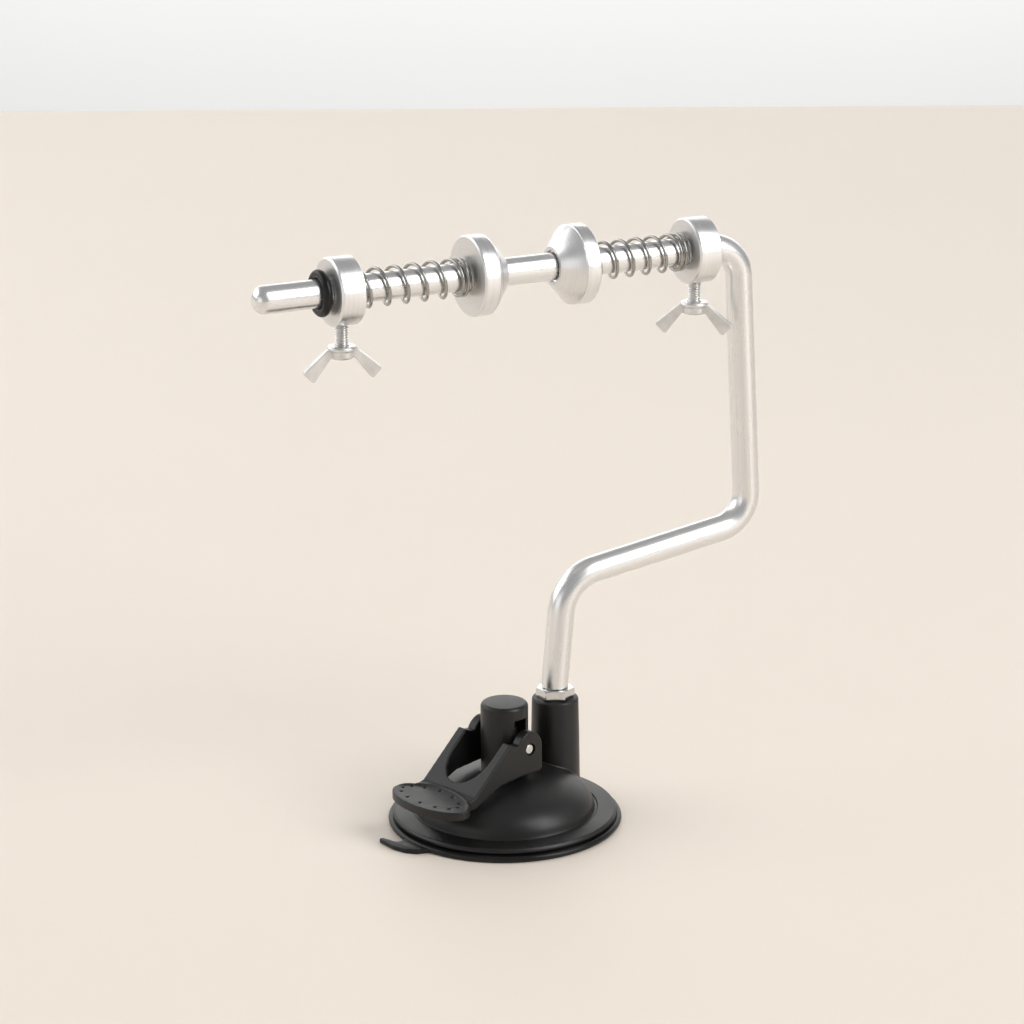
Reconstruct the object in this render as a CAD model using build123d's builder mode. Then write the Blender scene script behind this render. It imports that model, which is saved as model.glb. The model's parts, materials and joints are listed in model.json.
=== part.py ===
from build123d import *

import os
from math import ceil, cos, pi, radians, sin, sqrt, tan

# Line winder: a suction-cup stand that carries a spool between two sprung cones.
#
# Frame: millimetres, +Z up. The origin is the centre of the suction cup on the
# table. The axle runs along X and its free end points to -X. The base is
# symmetric about an upright plane through the cup's centre and the post, and
# that plane is turned by base_turn about Z.

os.makedirs("parts", exist_ok=True)

# ---------------------------------------------------------------- driving dimensions
# clearances
running_gap = 0.08         # radial, shafts in their holes
slip_gap = 0.03            # radial, pressed and screwed pieces
seat_gap = 0.05            # flat face to flat face
soft_gap = 0.3             # round the wound springs and between curved faces

# suction pad
cup_dia = 68.6
lip_bead_r = 0.95          # rounded rim of the rubber lip
lip_shoulder = 1.9         # from the flange's edge to where the pad starts to thin
pad_cavity = 2.4           # hollow under the pad while the lever is down
pad_land_r = 26.5          # inner edge of the ring that seals on the table
pad_hub_r = 10.0           # thick middle under the stem's disc
pad_hub_rise = 2.6         # above the pad's flat top
pad_hub_slope = 2.9
pad_vault = 1.4            # height of the hollow halfway between hub and land

# pull tab, in its own frame: out from the cup's edge, and along the edge
tab_turn = 190.0
tab_thick = 1.4
tab_bite = 2.2             # how far it runs in under the lip
tab_root = 8.0
tab_shoulder_out = 2.4     # the root's outer corner is cut off from here ...
tab_shoulder = 6.0
tab_corner_out = 4.6       # ... to here
tab_corner = 3.0
tab_reach = 5.7
tab_full = -1.0            # full reach from here to the prong's end
tab_waist = -1.8
tab_prong = -7.8
tab_prong_wide = 1.3
tab_back = -4.2

# housing
flange_dia = 65.6
flange_under = 2.4
flange_edge = 1.3
dome_dia = 52.4
dome_foot = 4.2            # height where the dome leaves the flange
dome_rise = 11.5
shell_wall = 2.0
boss_dia = 13.9
boss_rise = 20.7           # above the dome's crown
boss_round = 1.2
boss_cap = 3.2             # solid top over the stem's bore
slot_width = 4.6
slot_under_pin = 5.8
slot_over_pin = 8.2
base_turn = 16.6           # turn of the base's plane of symmetry from the axle

# post and its brass insert
post_reach = 21.1          # from the cup's centre to the post's axis
post_top_dia = 13.8
post_rise = 16.9           # above the dome's crown
post_draft = 1.3
post_round = 0.8
insert_dia = 9.2
insert_depth = 12.0
thread_dia = 6.0
thread_foot = 2.0          # thread stops this far above the insert's lower end

# stem and pin
stem_dia = 8.0
stem_disc_dia = 18.0
stem_disc_thick = 2.0
stem_over_pin = 4.8
stem_edge = 0.5
pin_dia = 3.0
pin_rise = 8.7             # above the dome's crown
pin_edge = 0.25

# lever, side view: places are behind and above the pin
lever_side_gap = 0.75      # between boss and ear
ear_thick = 3.2
ear_front = 4.7            # ear's face on the post side, in front of the pin
ear_top = 5.5
ear_top_behind = 2.6
ear_top_drop = 0.9
ear_nose_front = 2.9
ear_nose_drop = 1.4
ear_foot = 7.7             # ear's foot below the pin
ear_foot_round = 1.2
ear_sole = 2.6             # flat sole behind the pin
skirt_sag = 0.3
skirt_reach = 12.0
notch_behind = 4.5         # low place between an ear and the sloping arm
notch_rise = 2.3
arm_shoulder = 6.4
arm_shoulder_rise = 2.6
arm_start = 8.1            # top of the sloping arm
arm_rise = 3.6
arm_end = 22.4             # foot of the sloping arm
arm_web = 3.6              # upright thickness of the web
arm_heel = 0.9             # arm's foot stands this far above the paddle
paddle_drop = 9.7          # paddle's top below the pin
paddle_thick = 2.6
paddle_reach = 29.6        # paddle's middle behind the pin
paddle_half_wide = 14.6
paddle_half_deep = 7.0
yoke_end = 20.4            # closed end of the cut-out round the boss

# bent rod, in its upright plane: places are from the post's axis
rod_dia = 8.0
rod_foot_run = 2.2
foot_bend_r = 30.0
elbow_bend_r = 13.0
arm_bend_r = 10.5
top_bend_r = 9.5
elbow_shift = 3.1
elbow_height = 68.8
arm_reach = 66.2           # outer corner of the long arm
arm_height = 77.7
mast_lean = 4.9            # the mast leans back by this much over its height
axle_height = 162.5
axle_free_end = 93.0       # to the axle's rounded tip
tip_round = 3.4

# jam nut
nut_flats = 10.0
nut_thick = 3.0
nut_turn = -28.0
nut_chamfer_out = 0.8      # more than the corners stand out, so each end face is round
nut_chamfer_up = 0.45

# collars, cones and springs, in order along the axle from the bend
collar_dia = 19.3
collar_width = 7.5
collar_setback = 1.4       # from the start of the bend
collar_edge = 0.45
cone_dia = 23.0
cone_rim = 5.0
cone_taper = 5.3
cone_nose_dia = 11.3
cone_mouth = 0.5           # chamfer of the bore at the nose
nose_gap = 16.6            # where the spool's hub is gripped
spring_len = {"left": 35.3, "right": 33.5}
wire_dia = 1.0
coil_clear = 0.7           # radial, between the axle and the wire
start_turn = 0.88          # where the wire starts, in turns from the top
open_turns = 5.25
ease_turns = 0.25
closed_turns = 1.9
closed_pitch = 1.4
ring_section = 2.6         # rubber ring
ring_gap = 1.1             # between the ring and the left collar

# wing screws
screw_dia = 4.0
screw_drop = 5.6           # bare thread between collar and wing head
screw_edge = 0.4
screw_in_hub = 2.9
hub_top_dia = 8.3
hub_foot_dia = 6.9
hub_height = 3.7
hub_flange = 1.1
hub_edge = 0.4
hub_foot_edge = 0.6
wing_thick = 2.0
wing_root_top = 0.2        # below the hub's top
wing_root_low = 3.5
wing_tip_r = 11.5
wing_tip_top = 7.0
wing_foot_r = 8.5
wing_foot = 10.1
wing_round = 0.8
wing_turn = {"left": -8.0, "right": -41.0}

# ---------------------------------------------------------------- derived places
cup_r = cup_dia / 2
pad_top = flange_under - seat_gap
pad_hub_top = pad_top + pad_hub_rise
crown = dome_foot + dome_rise
boss_top = crown + boss_rise
post_top = crown + post_rise
pin_height = crown + pin_rise
turn = radians(base_turn)
post_x = post_reach * cos(turn)
post_y = post_reach * sin(turn)
lever_inner = boss_dia / 2 + lever_side_gap
lever_half = lever_inner + ear_thick
rod_r = rod_dia / 2
rod_bore_r = rod_r + running_gap
coil_r = rod_r + coil_clear + wire_dia / 2
nut_foot = post_top + seat_gap
nut_top = nut_foot + nut_thick
rod_foot = nut_top + seat_gap

mast_x = post_x + arm_reach - mast_lean
tip_x = post_x - axle_free_end
cone_len = cone_rim + cone_taper
collar_x = {"right": mast_x - top_bend_r - collar_setback - collar_width}
spring_x = {"right": collar_x["right"] - spring_len["right"]}
cone_x = {"right": spring_x["right"] - cone_len}
cone_x["left"] = cone_x["right"] - nose_gap - cone_len
spring_x["left"] = cone_x["left"] - spring_len["left"]
collar_x["left"] = spring_x["left"] - collar_width
ring_x = collar_x["left"] - ring_gap - ring_section / 2
hub_top_z = axle_height - collar_dia / 2 - screw_drop
stud_low = hub_top_z - screw_in_hub

rod_plane = Plane(origin=(0, post_y, 0), x_dir=(1, 0, 0), z_dir=(0, -1, 0))
base_plane = Plane(origin=(0, 0, 0), x_dir=(cos(turn), sin(turn), 0), z_dir=(0, 0, 1))
side_plane = Plane(origin=(0, 0, 0), x_dir=(cos(turn), sin(turn), 0), z_dir=(sin(turn), -cos(turn), 0))
axle_line = Axis((0, post_y, axle_height), (1, 0, 0))


def post_plane(z):
    """Level plane at height z, centred on the post's axis."""
    return Plane(origin=(post_x, post_y, z), x_dir=(1, 0, 0), z_dir=(0, 0, 1))


def finish(part, name):
    part.label = name
    export_step(part, f"parts/{name}.step")


# ---------------------------------------------------------------- suction pad
tab_angle = radians(tab_turn)
tab_plane = Plane(
    origin=(cup_r * cos(tab_angle), cup_r * sin(tab_angle), 0),
    x_dir=(cos(tab_angle), sin(tab_angle), 0),
    z_dir=(0, 0, 1),
)
with BuildPart() as suction_pad:
    with BuildSketch(Plane.XZ):
        with BuildLine():
            lip_in = cup_r - lip_bead_r
            Polyline(
                (0, pad_hub_top),
                (pad_hub_r, pad_hub_top),
                (pad_hub_r + pad_hub_slope, pad_top),
                (flange_dia / 2 - lip_shoulder, pad_top),
                (lip_in, 2 * lip_bead_r),
            )
            ThreePointArc((lip_in, 2 * lip_bead_r), (cup_r, lip_bead_r), (lip_in, 0))
            Line((lip_in, 0), (pad_land_r, 0))
            vault_r = (pad_land_r + pad_hub_r) / 2
            ThreePointArc((pad_land_r, 0), (vault_r, pad_vault), (pad_hub_r, pad_cavity))
            Polyline((pad_hub_r, pad_cavity), (0, pad_cavity), (0, pad_hub_top))
        make_face()
    revolve(axis=Axis.Z)
    with BuildSketch(tab_plane):
        with BuildLine():
            Polyline(
                (-tab_bite, tab_root),
                (tab_shoulder_out, tab_shoulder),
                (tab_corner_out, tab_corner),
                (tab_reach, tab_full),
                (tab_reach, tab_prong),
                (tab_reach - tab_prong_wide, tab_prong),
                (tab_reach / 2, tab_waist),
                (-tab_bite, tab_back),
                close=True,
            )
        make_face()
    extrude(amount=tab_thick)
finish(suction_pad.part, "suction_pad")

# ---------------------------------------------------------------- housing
dome_r = dome_dia / 2
flange_r = flange_dia / 2
inner_r = dome_r - shell_wall
inner_rise = dome_rise - shell_wall
boss_root = dome_foot + inner_rise - shell_wall / 2
post_foot_r = post_top_dia / 2 + (post_top - flange_under) * tan(radians(post_draft))
post_wall = (post_top_dia - insert_dia) / 2
with BuildPart() as housing:
    with BuildSketch(Plane.XZ):
        with BuildLine():
            EllipticalCenterArc((0, dome_foot), dome_r, dome_rise, start_angle=0, arc_size=90)
            Polyline(
                (dome_r, dome_foot),
                (flange_r - flange_edge / 2, flange_under + flange_edge),
                (flange_r, flange_under + flange_edge / 2),
                (flange_r, flange_under),
                (inner_r, flange_under),
                (inner_r, dome_foot),
            )
            EllipticalCenterArc((0, dome_foot), inner_r, inner_rise, start_angle=0, arc_size=90)
            Line((0, dome_foot + inner_rise), (0, crown))
        make_face()
    revolve(axis=Axis.Z)
    with BuildSketch(base_plane.offset(boss_root)):
        Circle(boss_dia / 2)
    extrude(amount=boss_top - boss_root)
    boss_rim = housing.edges().filter_by(GeomType.CIRCLE).sort_by(Axis.Z)[-1]
    fillet(boss_rim, radius=boss_round)
    with BuildSketch(base_plane.offset(flange_under)):
        with Locations((post_reach, 0)):
            Circle(post_foot_r)
    extrude(amount=post_top - flange_under, taper=post_draft)
    post_face = housing.faces().filter_by(Axis.Z).sort_by_distance((post_x, post_y, post_top))[0]
    fillet(post_face.outer_wire().edges(), radius=min(post_round, post_wall / 2))
    # bore for the stem, open to the hollow under the dome
    with BuildSketch(base_plane.offset(flange_under)):
        Circle(stem_dia / 2 + running_gap)
    extrude(amount=boss_top - boss_cap - flange_under, mode=Mode.SUBTRACT)
    # slots through the boss for the pin's rise and fall
    with BuildSketch(side_plane):
        with Locations((0, pin_height + (slot_over_pin - slot_under_pin) / 2)):
            Rectangle(slot_width, slot_over_pin + slot_under_pin)
    extrude(amount=boss_dia, both=True, mode=Mode.SUBTRACT)
    # pocket for the threaded insert
    with BuildSketch(base_plane.offset(post_top - insert_depth)):
        with Locations((post_reach, 0)):
            Circle(insert_dia / 2 + slip_gap)
    extrude(amount=insert_depth, mode=Mode.SUBTRACT)
finish(housing.part, "housing")

# ---------------------------------------------------------------- threaded insert
with BuildPart() as threaded_insert:
    with BuildSketch(post_plane(post_top - insert_depth + seat_gap)):
        Circle(insert_dia / 2)
        Circle(thread_dia / 2 + slip_gap, mode=Mode.SUBTRACT)
    extrude(amount=insert_depth - seat_gap)
finish(threaded_insert.part, "threaded_insert")

# ---------------------------------------------------------------- stem
stem_low = pad_hub_top + seat_gap
with BuildPart() as pull_stem:
    with BuildSketch(base_plane.offset(stem_low)):
        Circle(stem_disc_dia / 2)
    extrude(amount=stem_disc_thick)
    with BuildSketch(base_plane.offset(stem_low)):
        Circle(stem_dia / 2)
    extrude(amount=pin_height + stem_over_pin - stem_low)
    chamfer(pull_stem.edges().sort_by(Axis.Z)[-1], length=stem_edge)
    with BuildSketch(side_plane):
        with Locations((0, pin_height)):
            Circle(pin_dia / 2 + slip_gap)
    extrude(amount=stem_dia, both=True, mode=Mode.SUBTRACT)
finish(pull_stem.part, "pull_stem")

# ---------------------------------------------------------------- pivot pin
with BuildPart() as pivot_pin:
    with BuildSketch(side_plane):
        with Locations((0, pin_height)):
            Circle(pin_dia / 2)
    extrude(amount=lever_half - seat_gap, both=True)
    chamfer(pivot_pin.edges().filter_by(GeomType.CIRCLE), length=pin_edge)
finish(pivot_pin.part, "pivot_pin")

# ---------------------------------------------------------------- lever
paddle_top = pin_height - paddle_drop
paddle_foot = paddle_top - paddle_thick
paddle_back = arm_end + paddle_half_deep / 2
arm_top = pin_height + arm_rise
heel_top = paddle_top + arm_heel
skirt_low = pin_height - ear_foot
with BuildPart() as lever:
    with BuildSketch(side_plane) as ear_section:
        with BuildLine():
            ear_face = Line((ear_front, pin_height), (ear_front, skirt_low))
            underside = Polyline(
                ear_face @ 1,
                (-ear_sole, skirt_low + skirt_sag),
                (-skirt_reach, skirt_low - skirt_sag),
                (-arm_end, paddle_foot),
                (-paddle_back, paddle_foot),
                (-paddle_back, paddle_top),
                (-arm_end, heel_top),
                (-arm_start, arm_top),
                (-arm_shoulder, pin_height + arm_shoulder_rise),
                (-notch_behind, pin_height + notch_rise),
            )
            Spline(
                underside @ 1,
                (-ear_top_behind, pin_height + ear_top - ear_top_drop),
                (0, pin_height + ear_top),
                (ear_nose_front, pin_height + ear_top - ear_nose_drop),
                ear_face @ 0,
            )
        make_face()
        front_corners = ear_section.vertices().sort_by(Axis.X)[-2:]
        fillet(front_corners.sort_by(Axis.Y)[0], radius=min(ear_foot_round, ear_front - seat_gap))
    extrude(amount=lever_half, both=True)
    # hollow between the ears and under the sloping web
    past_ear = ear_front + ear_thick
    web_back = arm_end - ear_thick / 2
    with BuildSketch(side_plane):
        with BuildLine():
            Polyline(
                (past_ear, 0),
                (-web_back, 0),
                (-web_back, heel_top - arm_web),
                (-arm_start, arm_top - arm_web),
                (-arm_start, 2 * arm_top),
                (past_ear, 2 * arm_top),
                close=True,
            )
        make_face()
    extrude(amount=lever_inner, both=True, mode=Mode.SUBTRACT)
    # rounded cut-out in the web, round the boss
    yoke_mid = -yoke_end + lever_inner
    with BuildSketch(base_plane):
        with BuildLine():
            Polyline(
                (yoke_mid, lever_inner),
                (past_ear, lever_inner),
                (past_ear, -lever_inner),
                (yoke_mid, -lever_inner),
            )
            ThreePointArc((yoke_mid, -lever_inner), (-yoke_end, 0), (yoke_mid, lever_inner))
        make_face()
    extrude(amount=2 * arm_top, mode=Mode.SUBTRACT)
    with BuildSketch(base_plane.offset(paddle_foot)):
        with Locations((-paddle_reach, 0)):
            Ellipse(paddle_half_deep, paddle_half_wide)
    extrude(amount=paddle_thick)
    with BuildSketch(side_plane):
        with Locations((0, pin_height)):
            Circle(pin_dia / 2 + running_gap)
    extrude(amount=2 * lever_half, both=True, mode=Mode.SUBTRACT)
finish(lever.part, "lever")

# ---------------------------------------------------------------- bent rod
thread_low = post_top - insert_depth + thread_foot
with BuildPart() as bent_rod:
    with BuildLine(rod_plane) as rod_path:
        FilletPolyline(
            (post_x, rod_foot),
            (post_x, rod_foot + rod_foot_run),
            (post_x + elbow_shift, elbow_height),
            (post_x + arm_reach, arm_height),
            (mast_x, axle_height),
            (tip_x, axle_height),
            radius=[foot_bend_r, elbow_bend_r, arm_bend_r, top_bend_r],
        )
    with BuildSketch(post_plane(rod_foot)):
        Circle(rod_r)
    sweep(path=rod_path.wires()[0])
    tip_edge = bent_rod.edges().filter_by(GeomType.CIRCLE).sort_by(Axis.X)[0]
    fillet(tip_edge, radius=min(tip_round, rod_r - rod_r / 8))
    with BuildSketch(post_plane(thread_low)):
        Circle(thread_dia / 2)
    extrude(amount=rod_foot - thread_low)
finish(bent_rod.part, "bent_rod")

# ---------------------------------------------------------------- jam nut
nut_corner_r = nut_flats / 2 / cos(pi / 6)
with BuildPart() as jam_nut:
    with BuildSketch(post_plane(nut_foot)):
        RegularPolygon(radius=nut_flats / 2, side_count=6, major_radius=False, rotation=nut_turn)
    extrude(amount=nut_thick)
    with BuildSketch(rod_plane):
        with BuildLine():
            Polyline(
                (post_x, nut_foot),
                (post_x + nut_corner_r - nut_chamfer_out, nut_foot),
                (post_x + nut_corner_r, nut_foot + nut_chamfer_up),
                (post_x + nut_corner_r, nut_top - nut_chamfer_up),
                (post_x + nut_corner_r - nut_chamfer_out, nut_top),
                (post_x, nut_top),
                close=True,
            )
        make_face()
    revolve(axis=Axis((post_x, post_y, 0), (0, 0, 1)), mode=Mode.INTERSECT)
    with BuildSketch(post_plane(nut_foot)):
        Circle(thread_dia / 2 + slip_gap)
    extrude(amount=nut_thick, mode=Mode.SUBTRACT)
finish(jam_nut.part, "jam_nut")

# ---------------------------------------------------------------- rubber ring
with BuildPart() as retaining_ring:
    with BuildSketch(rod_plane):
        with Locations((ring_x, axle_height + rod_r + slip_gap + ring_section / 2)):
            Circle(ring_section / 2)
    revolve(axis=axle_line)
finish(retaining_ring.part, "retaining_ring")


# ---------------------------------------------------------------- springs
def coil_places(length):
    """Angle, place along the axle and pitch of the wire's centre-line, at even steps of about half a turn.

    The pitch is the open one over open_turns, then falls evenly to the closed one.
    """
    run = length - wire_dia - 2 * soft_gap - closed_turns * closed_pitch
    open_pitch = (run - ease_turns * closed_pitch / 2) / (open_turns + ease_turns / 2)
    all_turns = open_turns + ease_turns + closed_turns
    steps = ceil(2 * all_turns)
    places = []
    for step in range(steps + 1):
        turns = step * all_turns / steps
        eased = min(max(turns - open_turns, 0.0), ease_turns)
        closed = max(turns - open_turns - ease_turns, 0.0)
        pitch = open_pitch + (closed_pitch - open_pitch) * eased / ease_turns
        x = min(turns, open_turns) * open_pitch
        x = x + eased * (open_pitch + pitch) / 2
        x = x + closed * closed_pitch
        places.append(((start_turn + turns) * 2 * pi, x, pitch))
    return places


def biarc(start, start_dir, end, end_dir):
    """Two tangent arcs from start to end, with equal tangent lengths."""
    chord = end - start
    both = start_dir + end_dir
    spread = 2 * (1 - start_dir.dot(end_dir))
    reach = (sqrt(chord.dot(both) ** 2 + spread * chord.dot(chord)) - chord.dot(both)) / spread
    first = start + start_dir * reach
    last = end - end_dir * reach
    middle = (first + last) * 0.5
    return [
        Edge.make_tangent_arc(start, start_dir, middle),
        Edge.make_tangent_arc(middle, last - first, end),
    ]


def coil_wire(x_start, length):
    """One unbroken wire of tangent arcs, with a straight run of one wire's width at each end."""
    x_first = x_start + wire_dia / 2 + soft_gap
    points = []
    tangents = []
    for phase, x, pitch in coil_places(length):
        height = axle_height + coil_r * cos(phase)
        points.append(Vector(x_first + x, post_y - coil_r * sin(phase), height))
        tangents.append(Vector(pitch / (2 * pi), -coil_r * cos(phase), -coil_r * sin(phase)).normalized())
    edges = [Edge.make_line(points[0] - tangents[0] * wire_dia, points[0])]
    for here in range(len(points) - 1):
        edges = edges + biarc(points[here], tangents[here], points[here + 1], tangents[here + 1])
    edges.append(Edge.make_line(points[-1], points[-1] + tangents[-1] * wire_dia))
    return Wire(edges)


def least_coil_gap(path):
    """Smallest gap between the wire and its own next turns, from points along the path."""
    count = 600
    points = [path.position_at(i / count) for i in range(count + 1)]
    skip = round(count * 4 * coil_r / path.length)
    least = coil_r
    for i in range(count + 1):
        for j in range(i + skip, count + 1):
            least = min(least, (points[i] - points[j]).length - wire_dia)
    return least


for side in ("left", "right"):
    coil_path = coil_wire(spring_x[side], spring_len[side])
    with BuildPart() as spring:
        with BuildSketch(Plane(origin=coil_path @ 0, z_dir=coil_path % 0)):
            Circle(wire_dia / 2)
        sweep(path=coil_path)
    finish(spring.part, f"{side}_spring")
    print(side, "spring: least gap to itself", round(least_coil_gap(coil_path), 2), "mm")

# ---------------------------------------------------------------- cones
cone_back = {"left": cone_x["left"], "right": cone_x["right"] + cone_len}
for side, facing in (("left", 1), ("right", -1)):
    back = cone_back[side]
    nose = back + facing * cone_len
    with BuildPart() as cone:
        with BuildSketch(rod_plane):
            with BuildLine():
                Polyline(
                    (back, axle_height + rod_bore_r),
                    (back, axle_height + cone_dia / 2 - collar_edge),
                    (back + facing * collar_edge, axle_height + cone_dia / 2),
                    (back + facing * cone_rim, axle_height + cone_dia / 2),
                    (nose, axle_height + cone_nose_dia / 2),
                    (nose, axle_height + rod_bore_r + cone_mouth),
                    (nose - facing * cone_mouth, axle_height + rod_bore_r),
                    close=True,
                )
            make_face()
        revolve(axis=axle_line)
    finish(cone.part, f"{side}_cone")

# ---------------------------------------------------------------- collars
for side in ("left", "right"):
    screw_x = collar_x[side] + collar_width / 2
    collar_plane = Plane(origin=(collar_x[side], post_y, axle_height), x_dir=(0, 1, 0), z_dir=(1, 0, 0))
    with BuildPart() as collar:
        with BuildSketch(collar_plane):
            Circle(collar_dia / 2)
            Circle(rod_bore_r, mode=Mode.SUBTRACT)
        extrude(amount=collar_width)
        outer_rims = collar.edges().filter_by(GeomType.CIRCLE).sort_by(SortBy.RADIUS)[-2:]
        chamfer(outer_rims, length=collar_edge)
        with BuildSketch(Plane(origin=(screw_x, post_y, axle_height), z_dir=(0, 0, -1))):
            Circle(screw_dia / 2 + slip_gap)
        extrude(amount=collar_dia, mode=Mode.SUBTRACT)
    finish(collar.part, f"{side}_collar")

# ---------------------------------------------------------------- wing screws
stud_top = axle_height - rod_r - seat_gap
for side in ("left", "right"):
    screw_x = collar_x[side] + collar_width / 2
    with BuildPart() as stud:
        with BuildSketch(Plane(origin=(screw_x, post_y, stud_low), z_dir=(0, 0, 1))):
            Circle(screw_dia / 2)
        extrude(amount=stud_top - stud_low)
        chamfer(stud.edges().sort_by(Axis.Z)[-1], length=screw_edge)
    finish(stud.part, f"{side}_screw_stud")

    swing = radians(wing_turn[side])
    hub_plane = Plane(
        origin=(screw_x, post_y, hub_top_z),
        x_dir=(cos(swing), sin(swing), 0),
        z_dir=(sin(swing), -cos(swing), 0),
    )
    with BuildPart() as wing_head:
        with BuildSketch(hub_plane):
            with BuildLine():
                Polyline(
                    (0, 0),
                    (hub_top_dia / 2 - hub_edge, 0),
                    (hub_top_dia / 2, -hub_edge),
                    (hub_top_dia / 2, -hub_flange),
                    (hub_foot_dia / 2, -hub_flange - hub_edge),
                    (hub_foot_dia / 2, -hub_height + hub_foot_edge),
                    (hub_foot_dia / 2 - hub_foot_edge, -hub_height),
                    (0, -hub_height),
                    close=True,
                )
            make_face()
        revolve(axis=Axis((screw_x, post_y, 0), (0, 0, 1)))
        for way in (-1, 1):
            with BuildSketch(hub_plane) as wing:
                with BuildLine():
                    Polyline(
                        (way * hub_foot_dia / 4, -wing_root_top),
                        (way * hub_foot_dia / 2, -wing_root_top),
                        (way * wing_tip_r, -wing_tip_top),
                        (way * wing_foot_r, -wing_foot),
                        (way * hub_foot_dia / 2, -wing_root_low),
                        (way * hub_foot_dia / 4, -wing_root_low),
                        close=True,
                    )
                make_face()
                outer_corners = wing.vertices().sort_by(lambda corner: way * corner.X)[-2:]
                fillet(outer_corners, radius=wing_round)
            extrude(amount=wing_thick / 2, both=True)
        with BuildSketch(Plane(origin=(screw_x, post_y, hub_top_z), z_dir=(0, 0, -1))):
            Circle(screw_dia / 2 + slip_gap)
        extrude(amount=screw_in_hub + seat_gap, mode=Mode.SUBTRACT)
    finish(wing_head.part, f"{side}_wing_head")
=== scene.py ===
"""Line winder: a suction-cup stand whose bent rod carries a spool between two sprung cones.

Lengths are millimetres in the frame of the CAD model, and a mesh is turned into metres when it is
made. Only the studio is laid out in metres. A piece is a surface worked out on a grid of two
parameters, and the lever and the wing heads are copies of the CAD's with their edges made soft.
"""

import json
from math import atan2, cos, pi, radians, sin, tan

import bmesh
import bpy
import numpy as np
from mathutils import Matrix, Vector


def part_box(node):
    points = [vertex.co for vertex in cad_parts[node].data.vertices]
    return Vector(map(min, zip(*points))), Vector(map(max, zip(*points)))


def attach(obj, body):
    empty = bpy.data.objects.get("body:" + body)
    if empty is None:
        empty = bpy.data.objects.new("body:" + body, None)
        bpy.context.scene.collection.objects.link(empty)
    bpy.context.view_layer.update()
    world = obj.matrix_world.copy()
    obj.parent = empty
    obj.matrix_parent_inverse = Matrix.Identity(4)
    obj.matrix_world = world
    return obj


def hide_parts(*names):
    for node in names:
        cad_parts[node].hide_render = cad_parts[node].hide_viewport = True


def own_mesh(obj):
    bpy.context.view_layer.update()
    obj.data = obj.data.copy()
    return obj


bl_info = {
    "name": "Line Winder",
    "version": (1, 0, 0),
    "blender": (4, 5, 0),
    "location": "View3D > Sidebar > Line Winder",
    "description": "Dresses the packed line winder in its shapes, finishes and studio",
    "category": "Object",
}

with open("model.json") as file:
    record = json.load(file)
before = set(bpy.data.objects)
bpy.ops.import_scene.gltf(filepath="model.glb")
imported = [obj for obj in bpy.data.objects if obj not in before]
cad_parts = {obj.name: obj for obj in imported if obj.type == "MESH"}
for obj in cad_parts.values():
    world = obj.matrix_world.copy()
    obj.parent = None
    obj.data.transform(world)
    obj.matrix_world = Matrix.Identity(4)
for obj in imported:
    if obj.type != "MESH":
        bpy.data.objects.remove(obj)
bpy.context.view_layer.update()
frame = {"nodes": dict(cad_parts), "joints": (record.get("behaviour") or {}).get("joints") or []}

MM = 0.001
JOINT = {joint["name"]: joint for joint in frame["joints"]}
BOX = {name: np.array([list(corner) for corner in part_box(name)]) / MM for name in frame["nodes"]}
SIDES = ("left", "right")

# ---------------------------------------------------------------- places read from the frame
POST = np.array(JOINT["rod_swivel"]["pos_m"]) / MM
PIN = np.array(JOINT["lever_flip"]["pos_m"]) / MM
HINGE = np.array(JOINT["lever_flip"]["axis"])
BASE_TURN = atan2(-HINGE[0], HINGE[1])
AHEAD = np.array([cos(BASE_TURN), sin(BASE_TURN), 0.0])      # from the cup's centre to the post
ACROSS = np.array([-sin(BASE_TURN), cos(BASE_TURN), 0.0])
UP = np.array([0.0, 0.0, 1.0])
EAST = np.array([1.0, 0.0, 0.0])                             # along the axle
CUP = np.zeros(3)                                            # the suction cup's centre
AXLE_Y = POST[1]
AXLE_Z = BOX["left_cone"][:, 2].mean()
AXLE = np.array([0.0, AXLE_Y, AXLE_Z])
SCREW_X = {side: JOINT[f"{side}_wing_turn"]["pos_m"][0] / MM for side in SIDES}

# ---------------------------------------------------------------- sizes that pieces share
ROD = 4.0            # radius of the rod
BORE = 4.08          # radius of the bore in a collar or a cone
MOUTH = 4.3          # radius of the bore's chamfered mouth
SHARP = 28           # faces that meet at more degrees than this show a sharp line
SKIN = 0.001         # how far the middle of a swept end stands out of it


# ---------------------------------------------------------------- what a user may change
def colour(name, words, value):
    return bpy.props.FloatVectorProperty(
        name=name, description=words, subtype="COLOR", size=3, min=0, max=1, default=value
    )


def amount(name, words, value, unit="NONE"):
    return bpy.props.FloatProperty(name=name, description=words, default=value, min=0, unit=unit)


class WinderSizes(bpy.types.PropertyGroup):
    spring_wire: amount("Spring wire", "Thickness of the springs' wire", 0.001, "LENGTH")
    tool_marks: amount("Tool marks", "Spacing of the rings that the lathe left", 0.0004, "LENGTH")
    pit_depth: amount("Pits", "Depth of the pits in the paddle", 0.00045, "LENGTH")
    ridge: amount("Ridge", "Height of the ridge at the paddle's inner edge", 0.00035, "LENGTH")


class WinderFinish(bpy.types.PropertyGroup):
    plastic: colour("Plastic", "Black of the housing and the lever", (0.008, 0.0078, 0.0078))
    rubber: colour("Rubber", "Black of the suction pad and the ring", (0.006, 0.006, 0.0062))
    aluminium: colour("Aluminium", "Metal of the rod, cones and collars", (0.82, 0.82, 0.82))
    steel: colour("Steel", "Plated metal of the screws, the pin and the nut", (0.74, 0.74, 0.735))
    wire: colour("Spring wire", "Metal of the two springs", (0.42, 0.41, 0.39))
    brass: colour("Brass", "Metal of the threaded insert", (0.78, 0.57, 0.27))


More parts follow.
